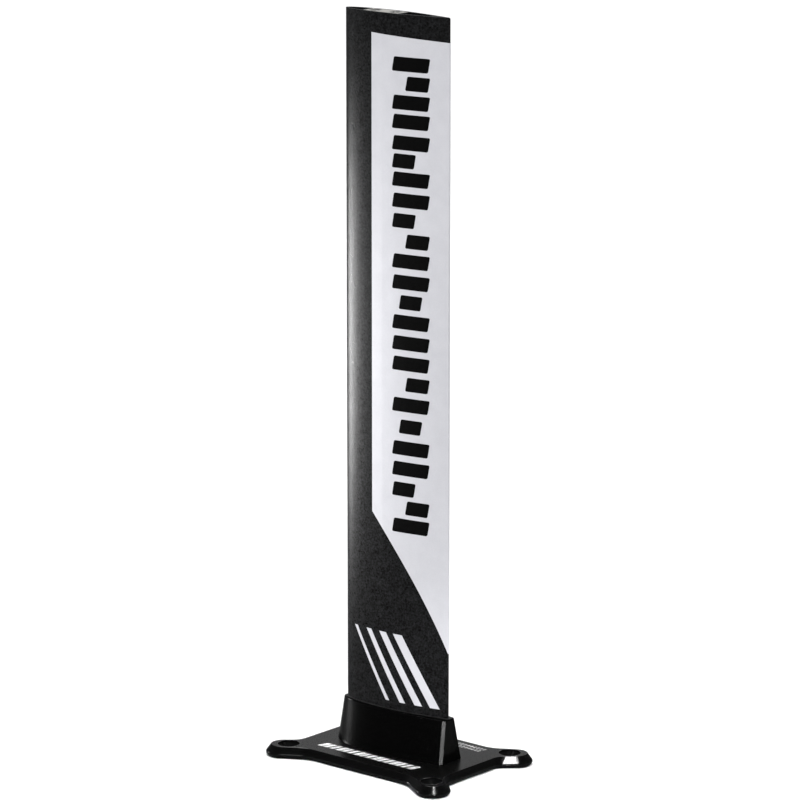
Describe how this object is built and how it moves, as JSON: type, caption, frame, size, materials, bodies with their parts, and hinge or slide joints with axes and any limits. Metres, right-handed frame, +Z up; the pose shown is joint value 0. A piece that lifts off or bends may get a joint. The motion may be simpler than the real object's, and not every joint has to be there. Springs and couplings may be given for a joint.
{
  "type": "hydrofoil mast",
  "caption": "Short foil-section hydrofoil mast standing on a rectangular four-bolt board plate, with a tapered collar at its foot and threaded holes in its far end",
  "frame": {"origin": "centre of the board plate's underside, where it meets the board", "axes": "+Z runs up the mast away from the board plate, +X points to the trailing edge, and the flanks face -Y and +Y"},
  "size_m": [0.1728, 0.1208, 0.5595],
  "materials": {
    "plate_black": "satin black anodised, machined",
    "collar_black": "satin black anodised, fine grain",
    "mast_black": "fine speckled black anodised over an extruded surface",
    "raw_aluminium": "natural, saw-cut and milled",
    "stainless": "turned stainless steel",
    "plug_foam": "dark closed-cell foam",
    "film_white": "satin white vinyl film"
  },
  "bodies": {
    "root": {"base_plate": "plate_black", "collar": "collar_black", "mast_extrusion": "mast_black", "foot_insert": "raw_aluminium", "head_insert": "raw_aluminium", "nose_plug_head": "plug_foam", "nose_plug_foot": "plug_foam", "tail_plug_head": "plug_foam", "tail_plug_foot": "plug_foam", "mast_screw_1": "stainless", "foot_thread_sleeve_1": "stainless", "head_thread_sleeve_1": "stainless", "mast_screw_2": "stainless", "foot_thread_sleeve_2": "stainless", "head_thread_sleeve_2": "stainless", "collar_screw_1": "stainless", "collar_screw_2": "stainless", "collar_screw_3": "stainless", "collar_screw_4": "stainless", "panel_left": "film_white", "stripe_left_1": "film_white", "stripe_left_2": "film_white", "stripe_left_3": "film_white", "stripe_left_4": "film_white", "panel_right": "film_white", "stripe_right_1": "film_white", "stripe_right_2": "film_white", "stripe_right_3": "film_white", "stripe_right_4": "film_white"}
  },
  "joints": []
}
